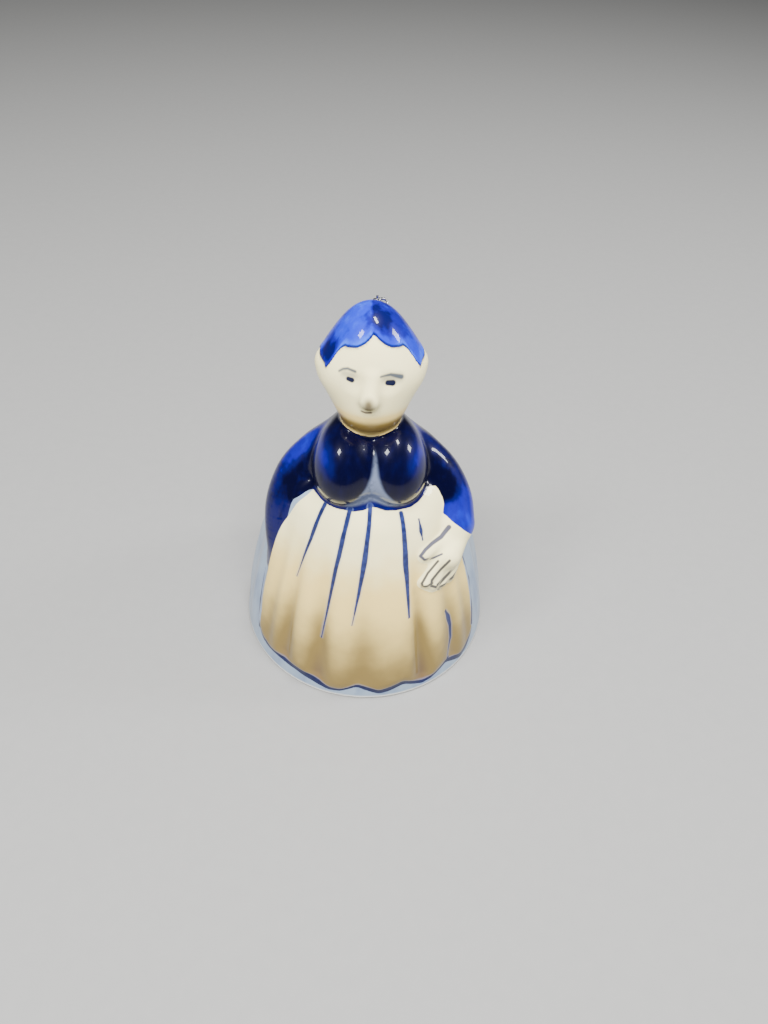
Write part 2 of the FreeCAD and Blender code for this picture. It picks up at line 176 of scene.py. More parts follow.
# each round part of the body and the head: middle and radii
WAIST = ((0, 0.8, 47.8), (14.6, 8.8, 8.6))
BUST = ((5.3, -6.9, 50.6), (6.3, 8.8, 6.1))
CHEST = ((4.9, -6.0, 52.6), (6.1, 9.0, 8.0))
SKULL = ((0, -1.2, 71.0), (10.3, 8.6, 7.1))
CROWN = ((0, -0.1, 76.5), (5.55, 6.6, 6.4))
JAW = ((0, -3.4, 65.2), (6.9, 6.9, 6.9))
EYE_SOCKET = ((3.7, -11.0, 73.2), (2.4, 1.6, 1.5))
BUST_GAP = 1.3
# each straight part: start, end, and the radius at each
NECK = ((0.1, -0.3, 55), (0, -0.8, 63), 6.7, 5.6)
HAIR_ROLL = ((8.2, -0.8, 72.2), (6.5, -2.8, 65.6), 2.2, 0.9)
NOSE_RIDGE = ((-0.3, -8.7, 73.6), (-0.6, -11.0, 69.9), 0.8, 1.5)
PALM = ((18.6, -10.0, 36.4), (16.4, -14.6, 33.0), 3.3, 3.3)
THUMB = ((16.6, -12.0, 36.6), (11.4, -17.1, 35.8), 1.7, 1.3)
# each finger from its root to its tip
FINGERS = [
    ((14.6, -15.9, 33.2), (11.9, -19.6, 29.6)),
    ((15.8, -15.3, 32.2), (13.6, -18.9, 28.2)),
    ((17.2, -14.4, 31.4), (15.6, -17.6, 27.4)),
    ((18.6, -13.2, 31.0), (17.4, -15.9, 27.3)),
]
FINGER_RADII = (1.6, 1.15)
# each arm from the shoulder on: x, y, z, radius
ARM_WITH_HAND = [
    (4.2, -0.3, 54.3, 3.8), (13.0, -1.6, 47.6, 4.8), (17.8, -4.8, 41.5, 4.3), (18.2, -9.4, 37.6, 4.3),
]
ARM_TUCKED_AWAY = [
    (-4.2, -0.3, 54.3, 3.8), (-13.2, -1.4, 47.8, 4.9), (-17.6, -4.4, 40.8, 4.3), (-19.3, -7.6, 34.0, 3.2),
    (-20.6, -9.6, 25.0, 1.0),
]
# the arms' field is worked out only this near their middle height and this far past x = 0,
# and has one far value elsewhere
ARMS_HEIGHT = 40
ARMS_REACH = 23
ARMS_OVERLAP = 4
ARMS_FAR = 9.0
HEAD_AXIS_Y = -1.2
# the cap's edge on either side of the face: degrees from its peak, height in mm
CAP_EDGE = [
    (0, 80.8), (9, 80.0), (18, 79.3), (29, 78.6), (44, 78.2), (53, 78.1), (58, 77.2), (60.5, 75.8),
    (62.5, 74.3), (65.5, 73.3), (70, 73.9), (83, 74.1), (96, 74.6), (115, 72.5), (145, 68.5), (180, 66.5),
]
CAP_PEAK = 2.0
CAP_THICKNESS = 0.35
CAP_STEP = (-0.3, 0.5)
# where the cap's glaze is thicker or thinner: middle, size, change
CAP_SPOTS = [
    ((0.6, -3.4, 82.2), 3.2, -0.6),
    ((-8.6, -3.7, 75.4), 2.6, -1.0),
    ((9.0, -3.4, 77.0), 3.0, 0.3),
]
HANGER_HOLES = [(0.9, 6.35, 79.5), (2.74, 5.5, 79.9)]
HOLE_RADIUS = 0.5


def skirt_radius(z):
    return np.sqrt(SKIRT_ARC**2 - (z - SKIRT_LOW) ** 2) - SKIRT_INSET


def smooth_line(x, points, soft):
    """The height of a line through a few points, with its corners rounded."""
    xs = [p[0] for p in points]
    ys = [p[1] for p in points]
    shifts = (-1.0, -0.5, 0.0, 0.5, 1.0)
    return sum(np.interp(x + soft * s, xs, ys) for s in shifts) / len(shifts)


def hem_height(turn):
    return smooth_line(turn, HEM, 1.2)


def skirt_relief(turn, z):
    """How far the skirt stands out from its plain turned shape."""
    above_hem = ramp(z - hem_height(turn), *HEM_RISE)
    apron = ramp(APRON_TURN - np.abs(turn), -APRON_EDGE, APRON_EDGE) * above_hem
    fade = above_hem * (1 - ramp(z, *PLEAT_FADE))
    relief = APRON_LIFT * apron
    for middle, width, depth in PLEATS:
        relief = relief - depth * fade * bump(turn, middle, width)
    behind = ramp(np.abs(turn), *BACK_FOLD_TURN)
    waves = BACK_FOLD_DEPTH * np.cos(np.radians(turn * BACK_FOLDS))
    return relief + behind * waves * ramp(z, *BACK_FOLD_RISE) * (1 - ramp(z, *BACK_FOLD_FADE))


def skirt(points):
    z = np.clip(points[..., 2], *SKIRT_SPAN)
    reach = np.hypot(points[..., 0], points[..., 1])
    lean = np.sqrt(1 - ((z - SKIRT_LOW) / SKIRT_ARC) ** 2)
    side = (reach - skirt_radius(z) - skirt_relief(turn_of(points), z)) * lean
    return meet(side, points[..., 2] - SKIRT_TOP, SKIRT_TOP_ROUNDING)


def torso(points):
    pair = both_sides(points, BUST_GAP)
    body = join(ellipsoid(points, *WAIST), limb(points, *NECK), 5.5)
    bust = join(ellipsoid(pair, *BUST), ellipsoid(pair, *CHEST), 2.0)
    return join(body, bust, 2.0)


def arms(points):
    shape = np.full(points.shape[:-1], ARMS_FAR)
    near = np.abs(points[..., 2] - ARMS_HEIGHT) < ARMS_REACH
    for side, path in ((1, ARM_WITH_HAND), (-1, ARM_TUCKED_AWAY)):
        here = near & (points[..., 0] * side > -ARMS_OVERLAP)
        shape[here] = np.minimum(shape[here], bent_limb(points[here], path))
    return shape


def hand(points):
    shape = limb(points, *PALM)
    for root, tip in FINGERS:
        shape = join(shape, limb(points, root, tip, *FINGER_RADII), 1.1)
    return join(shape, limb(points, *THUMB), 1.5)


def cap_field(points):
    """Millimetres above the cap's edge, below zero on the bare head."""
    turn = np.abs(turn_of(points, HEAD_AXIS_Y) - CAP_PEAK)
    turn = np.minimum(turn, 360 - turn)
    return points[..., 2] - smooth_line(turn, CAP_EDGE, 1.5)


def head(points):
    pair = both_sides(points)
    shape = join(ellipsoid(points, *SKULL), ellipsoid(points, *CROWN), 5.8)
    shape = join(shape, ellipsoid(points, *JAW), 3.5)
    shape = shape - CAP_THICKNESS * ramp(cap_field(points), *CAP_STEP)
    shape = join(shape, limb(pair, *HAIR_ROLL), 1.6)
    shape = meet(shape, -ellipsoid(pair, *EYE_SOCKET), 2.0)
    shape = join(shape, limb(points, *NOSE_RIDGE), 1.9)
    for hole in HANGER_HOLES:
        from_hole = np.sqrt(((points - np.array(hole)) ** 2).sum(-1))
        shape = meet(shape, HOLE_RADIUS - from_hole, 0.3)
    return shape


def figure(points):
    shape = join(skirt(points), torso(points), 1.2)
    shape = join(shape, arms(points), 1.6)
    shape = join(shape, hand(points), 1.3)
    return join(shape, head(points), 1.6)


# ---- meshing


def surface_net(field, low, high, step):
    """(points, quads, layers): a quad mesh of field's zero surface, and each point's layer."""
    counts = np.ceil((np.array(high) - np.array(low)) / step).astype(int) + 1
    axes = [low[i] + step * np.arange(counts[i]) for i in range(3)]
    across, along = np.meshgrid(axes[0], axes[1], indexing="ij")
    values = np.empty(counts, np.float32)
    for layer, z in enumerate(axes[2]):
        values[:, :, layer] = field(np.stack([across, along, np.full_like(across, z)], -1))
    inside = values < 0
    corners = np.zeros(counts - 1, int)
    for i, j, k in np.ndindex(2, 2, 2):
        corners += inside[i : counts[0] - 1 + i, j : counts[1] - 1 + j, k : counts[2] - 1 + k]
    cut = (corners > 0) & (corners < 8)
    number = np.full(cut.shape, -1)
    number[cut] = np.arange(cut.sum())
    cells = np.argwhere(cut)
    total = np.zeros((len(cells), 3))
    hits = np.zeros(len(cells))
    for axis in range(3):
        others = [i for i in range(3) if i != axis]
        for offsets in np.ndindex(2, 2):
            start = cells.copy()
            start[:, others] += offsets
            end = start.copy()
            end[:, axis] += 1
            first, last = values[tuple(start.T)], values[tuple(end.T)]
            crosses = (first < 0) != (last < 0)
            place = start[crosses].astype(float)
            place[:, axis] += first[crosses] / (first[crosses] - last[crosses])
            total[crosses] += place
            hits[crosses] += 1
    points = np.array(low) + step * total / hits[:, None]
    quads = []
    for axis in range(3):
        a, b = (axis + 1) % 3, (axis + 2) % 3
        near = [slice(1, -1)] * 3
        far = [slice(1, -1)] * 3
        near[axis], far[axis] = slice(0, -1), slice(1, None)
        first, second = inside[tuple(near)], inside[tuple(far)]
        for edges, backwards in ((first & ~second, False), (second & ~first, True)):
            place = np.argwhere(edges)
            place[:, [a, b]] += 1
            ring = []
            for da, db in ((-1, -1), (0, -1), (0, 0), (-1, 0)):
                cell = place.copy()
                cell[:, a] += da
                cell[:, b] += db
                ring.append(number[tuple(cell.T)])
            quad = np.stack(ring, 1)
            quads.append(quad[:, ::-1] if backwards else quad)
    return points, np.concatenate(quads), cells[:, 2]


def gradient(field, points, reach=0.02):
    slope = np.empty_like(points)
    for axis in range(3):
        step = np.zeros(3)
        step[axis] = reach
        slope[:, axis] = (field(points + step) - field(points - step)) / (2 * reach)
    return slope


def settle(field, points, rounds=2):
    """The points moved onto the field's zero surface."""
    for _ in range(rounds):
        slope = gradient(field, points)
        points = points - slope * (field(points) / ((slope**2).sum(1) + TINY))[:, None]
    return points


MESH_STEP = 0.46
NET_LOW = (-31.0, -31.0, -1.2)
NET_HIGH = (31.0, 31.0, 85.0)
# the sculpted outside starts at this height, and turned rings go on from its edge
FOOT_CUT = 1.1
RIM_BEVEL = 0.7
RIM_DEGREES = (0, 30, 60, 90)
# the inner edge of the rim that the bell rests on: reach and height
REST_INNER = 26.55
REST_EDGE = [(REST_INNER + 0.5, 0.0), (REST_INNER + 0.1, 0.15)]
WALL_RINGS = 16
DOME_START = 42.0
DOME_TOP = 49.5
DOME_RINGS = 8
BORE = 3.0
# middle height, reach and half height
HEAD_HOLLOW = (70.8, 6.5, 8.6)
HOLLOW_RINGS = 10


def inner_radius(z):
    return np.sqrt((SKIRT_ARC - WALL) ** 2 - (z - SKIRT_LOW) ** 2) - SKIRT_INSET


def open_ring(quads):
    """The points along the one open edge, in the order of the faces beside it."""
    edges = np.concatenate([quads[:, [i, (i + 1) % 4]] for i in range(4)])
    known = {(int(a), int(b)) for a, b in edges}
    following = {a: b for a, b in known if (b, a) not in known}
    ring = [min(following)]
    while following[ring[-1]] != ring[0]:
        ring.append(following[ring[-1]])
    return np.array(ring)


def inner_profile():
    """(reach, height) down the rest rim, up the inner wall and through the neck into the head."""
    foot = float(skirt_radius(0.0))
    rows = []
    for degrees in RIM_DEGREES:
        a = math.radians(degrees)
        rows.append((foot - RIM_BEVEL * (1 - math.cos(a)), RIM_BEVEL * (1 - math.sin(a))))
    rows += REST_EDGE
    for height in np.linspace(RIM_BEVEL, DOME_START, WALL_RINGS):
        rows.append((float(inner_radius(height)), float(height)))
    dome = float(inner_radius(DOME_START))
    for a in np.linspace(0, math.acos(BORE / dome), DOME_RINGS + 1)[1:]:
        rows.append((dome * math.cos(a), DOME_START + (DOME_TOP - DOME_START) * math.sin(a)))
    middle, reach, half = HEAD_HOLLOW
    for a in np.linspace(math.asin(BORE / reach), math.pi, HOLLOW_RINGS)[:-1]:
        rows.append((reach * math.sin(a), middle - half * math.cos(a)))
    return rows, middle + half


def porcelain_mesh():
    """(points, quads, lid, outer count): the closed porcelain, its outer points first."""
    points, quads, layer = surface_net(figure, NET_LOW, NET_HIGH, MESH_STEP)
    quads = quads[(layer[quads] >= round((FOOT_CUT - NET_LOW[2]) / MESH_STEP)).all(1)]
    used = np.unique(quads)
    points = settle(figure, points[used])
    quads = np.searchsorted(used, quads)
    ring = open_ring(quads)
    ring = np.roll(ring, -int(np.argmin(turn_of(points[ring]))))
    turn = np.sort(turn_of(points[ring]))
    spread = np.stack([np.sin(np.radians(turn)), -np.cos(np.radians(turn))], 1)
    low = np.full(len(ring), FOOT_CUT)
    points[ring, :2] = spread * (skirt_radius(low) + skirt_relief(turn, low))[:, None]
    points[ring, 2] = FOOT_CUT
    rows, top = inner_profile()
    outer_count = len(points)
    row = np.arange(len(ring))
    rings = [ring] + [outer_count + i * len(ring) + row for i in range(len(rows))]
    turned = [np.column_stack([spread * reach, np.full(len(ring), z)]) for reach, z in rows]
    points = np.concatenate([points] + turned + [np.array([[0.0, 0.0, top]])])
    after = np.roll(row, -1)
    walls = [np.stack([a[after], a, b, b[after]], 1) for a, b in zip(rings, rings[1:])]
    pole = np.full(len(ring), len(points) - 1)
    lid = np.stack([rings[-1][after], rings[-1], pole], 1)
    return points, np.concatenate([quads] + walls), lid, outer_count


# ---- painting: smooth fields on the mesh, in millimetres, above zero inside a region

# the apron's sides: height in mm, degrees round the skirt
APRON_LEFT = [
    (5, -62), (9, -61.1), (14, -61.8), (22, -64.5), (33, -61.8), (38, -60.8), (43.5, -56.2), (47, -50),
]
APRON_RIGHT = [(5, 60), (9, 60.9), (18, 61.8), (27, 61.6), (38, 61), (47, 62.5)]
# the bodice's lower edge: degrees, height in mm
BODICE_EDGE = [
    (-64.5, 42.9), (-60, 43.6), (-56, 45.4), (-52.4, 47), (-46, 46.8), (-32, 46.3), (-13, 46.3), (-4, 46.7),
    (0.4, 47), (5, 46.9), (12, 46.4), (32, 46.1), (43.7, 46.5), (53.6, 47.1), (62.6, 46.2),
]
WAIST_BEHIND = 45.5
# degrees over which the bodice's edge levels out behind
WAIST_TURN = (64, 90)
# above this height everything that isn't blue is cream
NECKLINE = 57.5
# the plane that the cuff lies in
CUFF_NORMAL = np.array([-0.62, -0.37, -0.69])
CUFF_PLACE = -34.05
# how far the glaze of a sleeve and of the hand spreads past its own shape
SLEEVE_SPREAD = 0.9
HAND_SPREAD = 0.75
# above this height the tucked sleeve's glaze may cross the apron's side
TUCKED_SLEEVE_LOW = 42
# half width of the pale plastron in mm, by height
PLASTRON = [(47, 6.5), (49.5, 3.9), (51.8, 1.75), (54.2, 0.7), (57.5, 0.1), (58.5, -0.5)]
PLASTRON_X = 0.8

# brush strokes: (degrees, height, half width) along each one, then its tone from 0 blue to 1 black
STROKES = [
    ([(-35, 45.6, 0.45), (-37.4, 39, 0.4), (-42.4, 29, 0.12)], 0.35),
    ([(-15.4, 46.2, 0.48), (-19.3, 34, 0.48), (-23.4, 16.5, 0.12)], 0.3),
    ([(-0.4, 46.7, 0.45), (-3.4, 36.5, 0.58), (-8.1, 22.5, 0.1)], 0.15),
    ([(21.9, 45.2, 0.46), (20.5, 35.5, 0.68), (20.1, 23.2, 0.26)], 0.15),
    ([(33.4, 43, 0.2), (33.2, 41.3, 0.45), (33.2, 40, 0.16)], 0.3),
    ([(42.6, 18.2, 0.3), (43.7, 16.4, 0.66), (44.4, 14, 0.46), (44, 10, 0.32), (40.6, 5.2, 0.1)], 0.45),
    ([(61.5, 29, 0.12), (65.4, 20, 0.34), (62.8, 14.4, 0.34), (60.9, 8, 0.26)], 0.7),
    ([(-67.5, 22, 0.1), (-65.9, 13.3, 0.28), (-63.4, 6.5, 0.3)], 0.6),
]
# the line along the hem: half width, how much it swells, how many times round, tone, and its end
# in degrees to either side
HEM_HALF_WIDTH = 0.55
HEM_SWELL = 0.35
HEM_SWELLS = 9
HEM_TONE = 0.8
HEM_LINE_TURN = 63
STROKE_REACH = 0.9
# the crease between each arm and the bust, where painted shade keeps the blue glaze nearly black
ARMPIT_SHADE = ((11.8, -7, 50.3), (15.5, -7.6, 45.8), 0, 0)
# how light the blue glaze shows all over, and how much lighter on the tucked sleeve, on its upward ridges
# as a painted highlight, on the other sleeve and towards its cuff as a painted reflection, along the
# bodice's edge and on the shoulders
THIN_ALL_OVER = 0.04
THIN_TUCKED = 0.2
RIDGE_HIGHLIGHT = 0.5
THIN_SLEEVE = 0.12
CUFF_REFLECTION = 0.6
THIN_RIM = 0.3
THIN_SHOULDER = 0.45
# painted shade on the cream: how deep it lies in the pleats and at the apron's foot, the height where the
# foot's shade ends, an even step on the face, and how deep it lies under the chin
SHADE_IN_PLEATS = 0.3
SHADE_AT_FOOT = 1.4
SHADE_FOOT_HEIGHT = 42
FACE_CREAM_STEP = 0.06
SHADE_UNDER_CHIN = 1.35
# the lowest heights that belong to the neck and to the cap
NECK_LOW = 55
CAP_LOW = 60
# field values where nothing is painted
NO_PAINT = -5.0
NO_STROKE = 50.0
# below this height the rim is bare of glaze
BARE_RIM = 0.3


def bodice_height(turn):
    front = smooth_line(turn, BODICE_EDGE, 2.0)
    return front + (WAIST_BEHIND - front) * ramp(np.abs(turn), *WAIST_TURN)


def nearest_stroke(across, up, scale, strokes):
    """[offset, half width, distance, tone] of the nearest stroke; scale turns across into mm."""
    best = np.full(len(up), FAR)
    offset = np.full(len(up), FAR)
    half = np.zeros(len(up))
    tone = np.zeros(len(up))
    for path, stroke_tone in strokes:
        for (first_u, first_v, first_half), (last_u, last_v, last_half) in zip(path, path[1:]):
            run_u, run_v = (last_u - first_u) * scale, last_v - first_v
            u, v = (across - first_u) * scale, up - first_v
            length = np.sqrt(run_u**2 + run_v**2)
            t = np.clip((u * run_u + v * run_v) / length**2, 0, 1)
            far = np.hypot(u - t * run_u, v - t * run_v)
            nearer = far < best
            best = np.where(nearer, far, best)
            offset = np.where(nearer, (u * run_v - v * run_u) / length, offset)
            half = np.where(nearer, first_half + (last_half - first_half) * t, half)
            tone = np.where(nearer, stroke_tone, tone)
    return [offset, half, best, tone]


def stroke_fields(turn, z, reach):
    """nearest_stroke's list for the brush strokes and the line along the hem."""
    hem = hem_height(turn)
    strokes = nearest_stroke(turn, z, np.radians(1.0) * reach, STROKES)
    hem_width = HEM_HALF_WIDTH * (1 + HEM_SWELL * np.sin(np.radians(turn * HEM_SWELLS)))
    hem_stroke = [z - hem, hem_width, np.abs(z - hem), np.full(len(z), HEM_TONE)]
    near_hem = (hem_stroke[2] < strokes[2]) & (np.abs(turn) < HEM_LINE_TURN)
    return [np.where(near_hem, b, a) for a, b in zip(strokes, hem_stroke)]


def blue_tone_and_light_field(points, slope, on_arm):
    """How light the blue glaze shows: 0 is nearly black, 1 bright blue. Besides its own tone it holds
    painted
    light: a painted highlight on the tucked sleeve's upward ridges, a painted reflection towards the other
    sleeve's cuff, and painted shade in the crease between each arm and the bust.

    on_arm is 1 on the head too, so the cap takes the sleeves' values, with a step at x = 0 that
    shows as a seam along its middle.
    """
    turn, z = turn_of(points), points[:, 2]
    # painted highlight: upward-facing surfaces of the tucked sleeve, and of the cap's left half, turn
    # lighter
    ridge_highlight = ramp(slope[:, 2], 0.4, 0.95)
    armpit = limb(both_sides(points), *ARMPIT_SHADE)
    rim = ramp(1.6 - (z - bodice_height(turn)), 0, 1.2) * (np.abs(turn) < 52)
    shoulder = bump(z, 56.5, 2.2) * ramp(np.abs(points[:, 0]), 6, 9)
    # painted reflection: the sleeve with the hand turns lighter towards its cuff
    toward_cuff = ramp(50 - z, 0, 11)
    tucked = THIN_TUCKED + RIDGE_HIGHLIGHT * ridge_highlight
    sleeve = THIN_SLEEVE + CUFF_REFLECTION * toward_cuff
    blue_tone_and_light = THIN_ALL_OVER + on_arm * np.where(points[:, 0] < 0, tucked, sleeve)
    # painted shade: the blue turns nearly black near the crease between each arm and the bust
    blue_tone_and_light = (blue_tone_and_light + THIN_RIM * rim + THIN_SHOULDER * shoulder) * ramp(armpit, 1.8, 4.4)
    for spot, size, change in CAP_SPOTS:
        blue_tone_and_light = blue_tone_and_light + change * bump(np.linalg.norm(points - np.array(spot), axis=1), 0, size)
    return blue_tone_and_light


def painted_shade_field(points):
    """Painted shade on the cream glaze: in the pleats, low on the apron and under the chin."""
    turn, z = turn_of(points), points[:, 2]
    groove = sum(depth * bump(turn, middle, width) for middle, width, depth in PLEATS)
    foot = np.clip(1 - z / SHADE_FOOT_HEIGHT, 0, 1)
    # painted shade: darker in the pleats and towards the apron's foot
    painted_shade = SHADE_IN_PLEATS * groove * (1 - ramp(z, 14, 40)) + SHADE_AT_FOOT * foot
    # painted shade under the chin
    chin = bump(z, 62.8, 2.4) * ramp(-points[:, 1], 2, 7)
    return np.where(z > NECK_LOW, FACE_CREAM_STEP + SHADE_UNDER_CHIN * chin, painted_shade)


def hand_front_field(points, slope):
    """1 on the back of the hand, where its lines are drawn, and 0 elsewhere."""
    facing = (slope[:, 2] - slope[:, 1]) * math.sqrt(0.5)
    return ramp(facing, 0.3, 0.6) * ramp(points[:, 0], 7, 8) * ramp(-points[:, 1], 5, 7)


def paint_fields(points, slope, inside):
    """Every painted region and stroke as one number per point of the porcelain."""
    turn, z = turn_of(points), points[:, 2]
    reach = np.hypot(points[:, 0], points[:, 1])
    per_degree = np.radians(1.0) * np.clip(reach, 8, 40)
    arm, body = arms(points), torso(points)
    from_left = (turn - smooth_line(z, APRON_LEFT, 0.8)) * per_degree
    from_right = (smooth_line(z, APRON_RIGHT, 0.8) - turn) * per_degree
    up_and_down = np.minimum(z - hem_height(turn), SKIRT_TOP - z)
    apron = np.minimum(np.minimum(from_left, from_right), up_and_down)
    apron = np.maximum(apron, z - NECKLINE)

    cuff = CUFF_PLACE - points @ CUFF_NORMAL
    tucked = np.maximum(-from_left, z - TUCKED_SLEEVE_LOW)
    sleeve = np.minimum(SLEEVE_SPREAD - arm, np.where(points[:, 0] < 0, tucked, cuff))
    above_waist = np.minimum(z - bodice_height(turn), head(points) - np.minimum(body, arm))
    half = smooth_line(z, PLASTRON, 0.4) - np.abs(points[:, 0] - PLASTRON_X)

    strokes = stroke_fields(turn, z, reach)
    on_arm = ramp(body - arm, -0.3, 1.2)
    fields = {
        "hand_front": hand_front_field(points, slope),
        "apron": apron,
        "navy": np.maximum(above_waist, sleeve),
        "hand": np.minimum(HAND_SPREAD - hand(points), -cuff),
        "plastron": np.where(points[:, 1] < 0, half, NO_PAINT),
        "cap": np.where(z > CAP_LOW, cap_field(points) * 0.8, NO_PAINT),
        "stroke_offset": strokes[0],
        "stroke_half": strokes[1],
        "stroke_distance": strokes[2],
        "stroke_tone": strokes[3],
        "blue_tone_and_light": blue_tone_and_light_field(points, slope, on_arm),
        "mottle": 0.25 + 0.3 * on_arm,
        "painted_shade": painted_shade_field(points),
    }
    for name, values in fields.items():
        fields[name] = np.where(inside, NO_STROKE if name == "stroke_distance" else NO_PAINT, values)
    fields["inside"] = inside.astype(float)
    fields["bare"] = (inside & (z < BARE_RIM)).astype(float)
    return fields


# ---- materials


class Shader:
    """A node material, with short calls for the nodes that the glazes are made of."""

    def __init__(self, name, **finish):
        self.material = bpy.data.materials.new(name)
        self.material.use_nodes = True
        self.tree = self.material.node_tree
        self.surface = self.tree.nodes["Principled BSDF"]
        for socket, value in finish.items():
            self.surface.inputs[socket.replace("_", " ")].default_value = value
        self.place = self.node("ShaderNodeTexCoord").outputs["Object"]

    def node(self, kind, inputs=(), **settings):
        made = self.tree.nodes.new(kind)
        for name, value in settings.items():
            setattr(made, name, value)
        for socket, value in dict(inputs).items():
            if isinstance(value, bpy.types.NodeSocket):
                self.tree.links.new(value, made.inputs[socket])
            else:
                made.inputs[socket].default_value = value
        return made

    def field(self, name):
        return self.node("ShaderNodeAttribute", attribute_name=name).outputs["Fac"]

    def vector(self, operation, *values):
        return self.node("ShaderNodeVectorMath", dict(enumerate(values)), operation=operation).outputs

    def math(self, operation, *values):
        return self.node("ShaderNodeMath", dict(enumerate(values)), operation=operation).outputs[0]

    def ramp(self, value, low, high, start=0.0, end=1.0):
        """start below low, end above high, smooth between."""
        sockets = {"Value": value, "From Min": low, "From Max": high, "To Min": start, "To Max": end}
        made = self.node("ShaderNodeMapRange", sockets, interpolation_type="SMOOTHSTEP")
        return made.outputs["Result"]

    def mix(self, factor, first, second):
        """The first colour turned into the second by factor; sockets 6 and 7 are the colours'."""
        made = self.node("ShaderNodeMix", data_type="RGBA")
        for index, value in ((0, factor), (6, first), (7, second)):
            if isinstance(value, bpy.types.NodeSocket):
                self.tree.links.new(value, made.inputs[index])
            elif index:
                made.inputs[index].default_value = (*value, 1.0)
            else:
                made.inputs[index].default_value = value
        return made.outputs[2]

    def noise(self, size, detail, stretch=(1, 1, 1)):
        """A cloud from 0 to 1 whose lumps are size across, in mm, and drawn out by stretch."""
        scale = [1 / (size * MM * s) for s in stretch]
        place = self.node("ShaderNodeMapping", {"Vector": self.place, "Scale": scale}).outputs[0]
        sockets = {"Vector": place, "Scale": 1.0, "Detail": detail}
        return self.node("ShaderNodeTexNoise", sockets).outputs["Fac"]

    def relief(self, height, depth, strength):
        """Bumps of the given height field, depth mm deep."""
        sockets = {"Height": height, "Distance": depth * MM, "Strength": strength}
        self.set("Normal", self.node("ShaderNodeBump", sockets).outputs["Normal"])

    def set(self, socket, value):
        self.tree.links.new(value, self.surface.inputs[socket])


# creams from pale to dark; the darker steps are painted shade, the darkest under the chin
CREAM_PALE = (0.94, 0.86, 0.48)
CREAM = (0.84, 0.63, 0.21)
CREAM_SHADED = (0.21, 0.145, 0.04)
CREAM_SHADE = (0.14, 0.09, 0.045)
WASH = (0.27, 0.35, 0.46)
WASH_DEEP = (0.11, 0.17, 0.31)
NIGHT = (0.0008, 0.0008, 0.012)
DEEP_BLUE = (0.003, 0.003, 0.06)
COBALT = (0.005, 0.005, 0.21)
BRIGHT_BLUE = (0.008, 0.022, 0.5)
PALE_BLUE = (0.03, 0.11, 0.8)
BLEED_BLUE = (0.20, 0.28, 0.55)
INK = (0.004, 0.006, 0.03)
BRUSH_BLUE = (0.028, 0.042, 0.17)
BRUSH_DEEP = (0.014, 0.02, 0.085)
PLASTRON_GREY = (0.13, 0.16, 0.25)
# painted shade over the eyes
LID_SHADE_GREY = (0.16, 0.16, 0.15)
BROW_GREY = (0.03, 0.05, 0.09)
NOSE_SHADE = (0.10, 0.075, 0.04)
LIP_BROWN = (0.06, 0.03, 0.03)
INNER_WHITE = (0.74, 0.74, 0.70)
BISCUIT = (0.72, 0.68, 0.60)
STEEL = (0.62, 0.62, 0.64)
STEEL_DULL = (0.30, 0.28, 0.26)
BRASS = (0.78, 0.56, 0.24)
BRASS_DULL = (0.40, 0.25, 0.10)
PLASTER = (0.80, 0.77, 0.70)
PLASTER_DAMP = (0.62, 0.58, 0.50)
BEAD_WHITE = (0.82, 0.81, 0.76)
BEAD_GREY = (0.66, 0.66, 0.66)
FLOOR_PALE = (0.27, 0.27, 0.267)
FLOOR_GREY = (0.25, 0.25, 0.25)

# the face's brush marks and painted shade: points in mm, then the radius at the first and the last
EYES = [
    ([(-4.4, -8.5, 73.3), (-3.8, -8.7, 73.15)], 0.46, 0.52),
    ([(2.7, -9.0, 72.85), (3.6, -8.85, 72.7)], 0.54, 0.62),
]
BROWS = [
    ([(-6.1, -7.4, 74.2), (-5.4, -7.6, 74.8), (-4.5, -7.9, 75.1), (-3.2, -8.5, 74.9)], 0.2, 0.28),
    ([(1.4, -9.3, 74.3), (3.2, -8.7, 74.4), (5.2, -8.2, 73.6)], 0.2, 0.46),
]
# painted shade over the eyes, in the eye sockets
LID_SHADE = [
    ([(-5.3, -8.1, 74.2), (-3.6, -8.7, 74.1)], 0.6, 0.6),
    ([(2.2, -9.1, 73.7), (4.9, -8.4, 73.6)], 0.6, 0.8),
]
# painted shade on the tip and underside of the nose
NOSE_SHADOW = [([(-0.8, -12.5, 70.5), (-0.8, -12.0, 68.6)], 1.0, 1.2)]
MOUTH = [([(-2.0, -10.2, 67.3), (-1.2, -10.4, 67.05), (-0.3, -10.5, 67.2)], 0.18, 0.3)]


def brush_mark(shader, marks, soft, place=None):
    """1 inside a set of tapered strokes near the surface, fading to 0 over soft mm."""
    total = None
    place = place or shader.place
    for path, first_radius, last_radius in marks:
        count = len(path) - 1
        radii = [(first_radius + (last_radius - first_radius) * i / count) * MM for i in range(count + 1)]
        for i, (start, end) in enumerate(zip(path, path[1:])):
            start, end = Vector(start) * MM, Vector(end) * MM
            run = end - start
            gap = shader.vector("SUBTRACT", place, start)[0]
            along = shader.vector("DOT_PRODUCT", gap, run / run.length_squared)["Value"]
            t = shader.node("ShaderNodeClamp", {"Value": along}).outputs[0]
            nearest = shader.node("ShaderNodeVectorMath", {0: run, 3: t}, operation="SCALE").outputs[0]
            far = shader.vector("DISTANCE", gap, nearest)["Value"]
            edge = shader.math("MULTIPLY_ADD", t, radii[i + 1] - radii[i], radii[i])
            inside = shader.ramp(shader.math("SUBTRACT", edge, far), -soft * MM, soft * MM)
            total = inside if total is None else shader.math("MAXIMUM", total, inside)
    return total


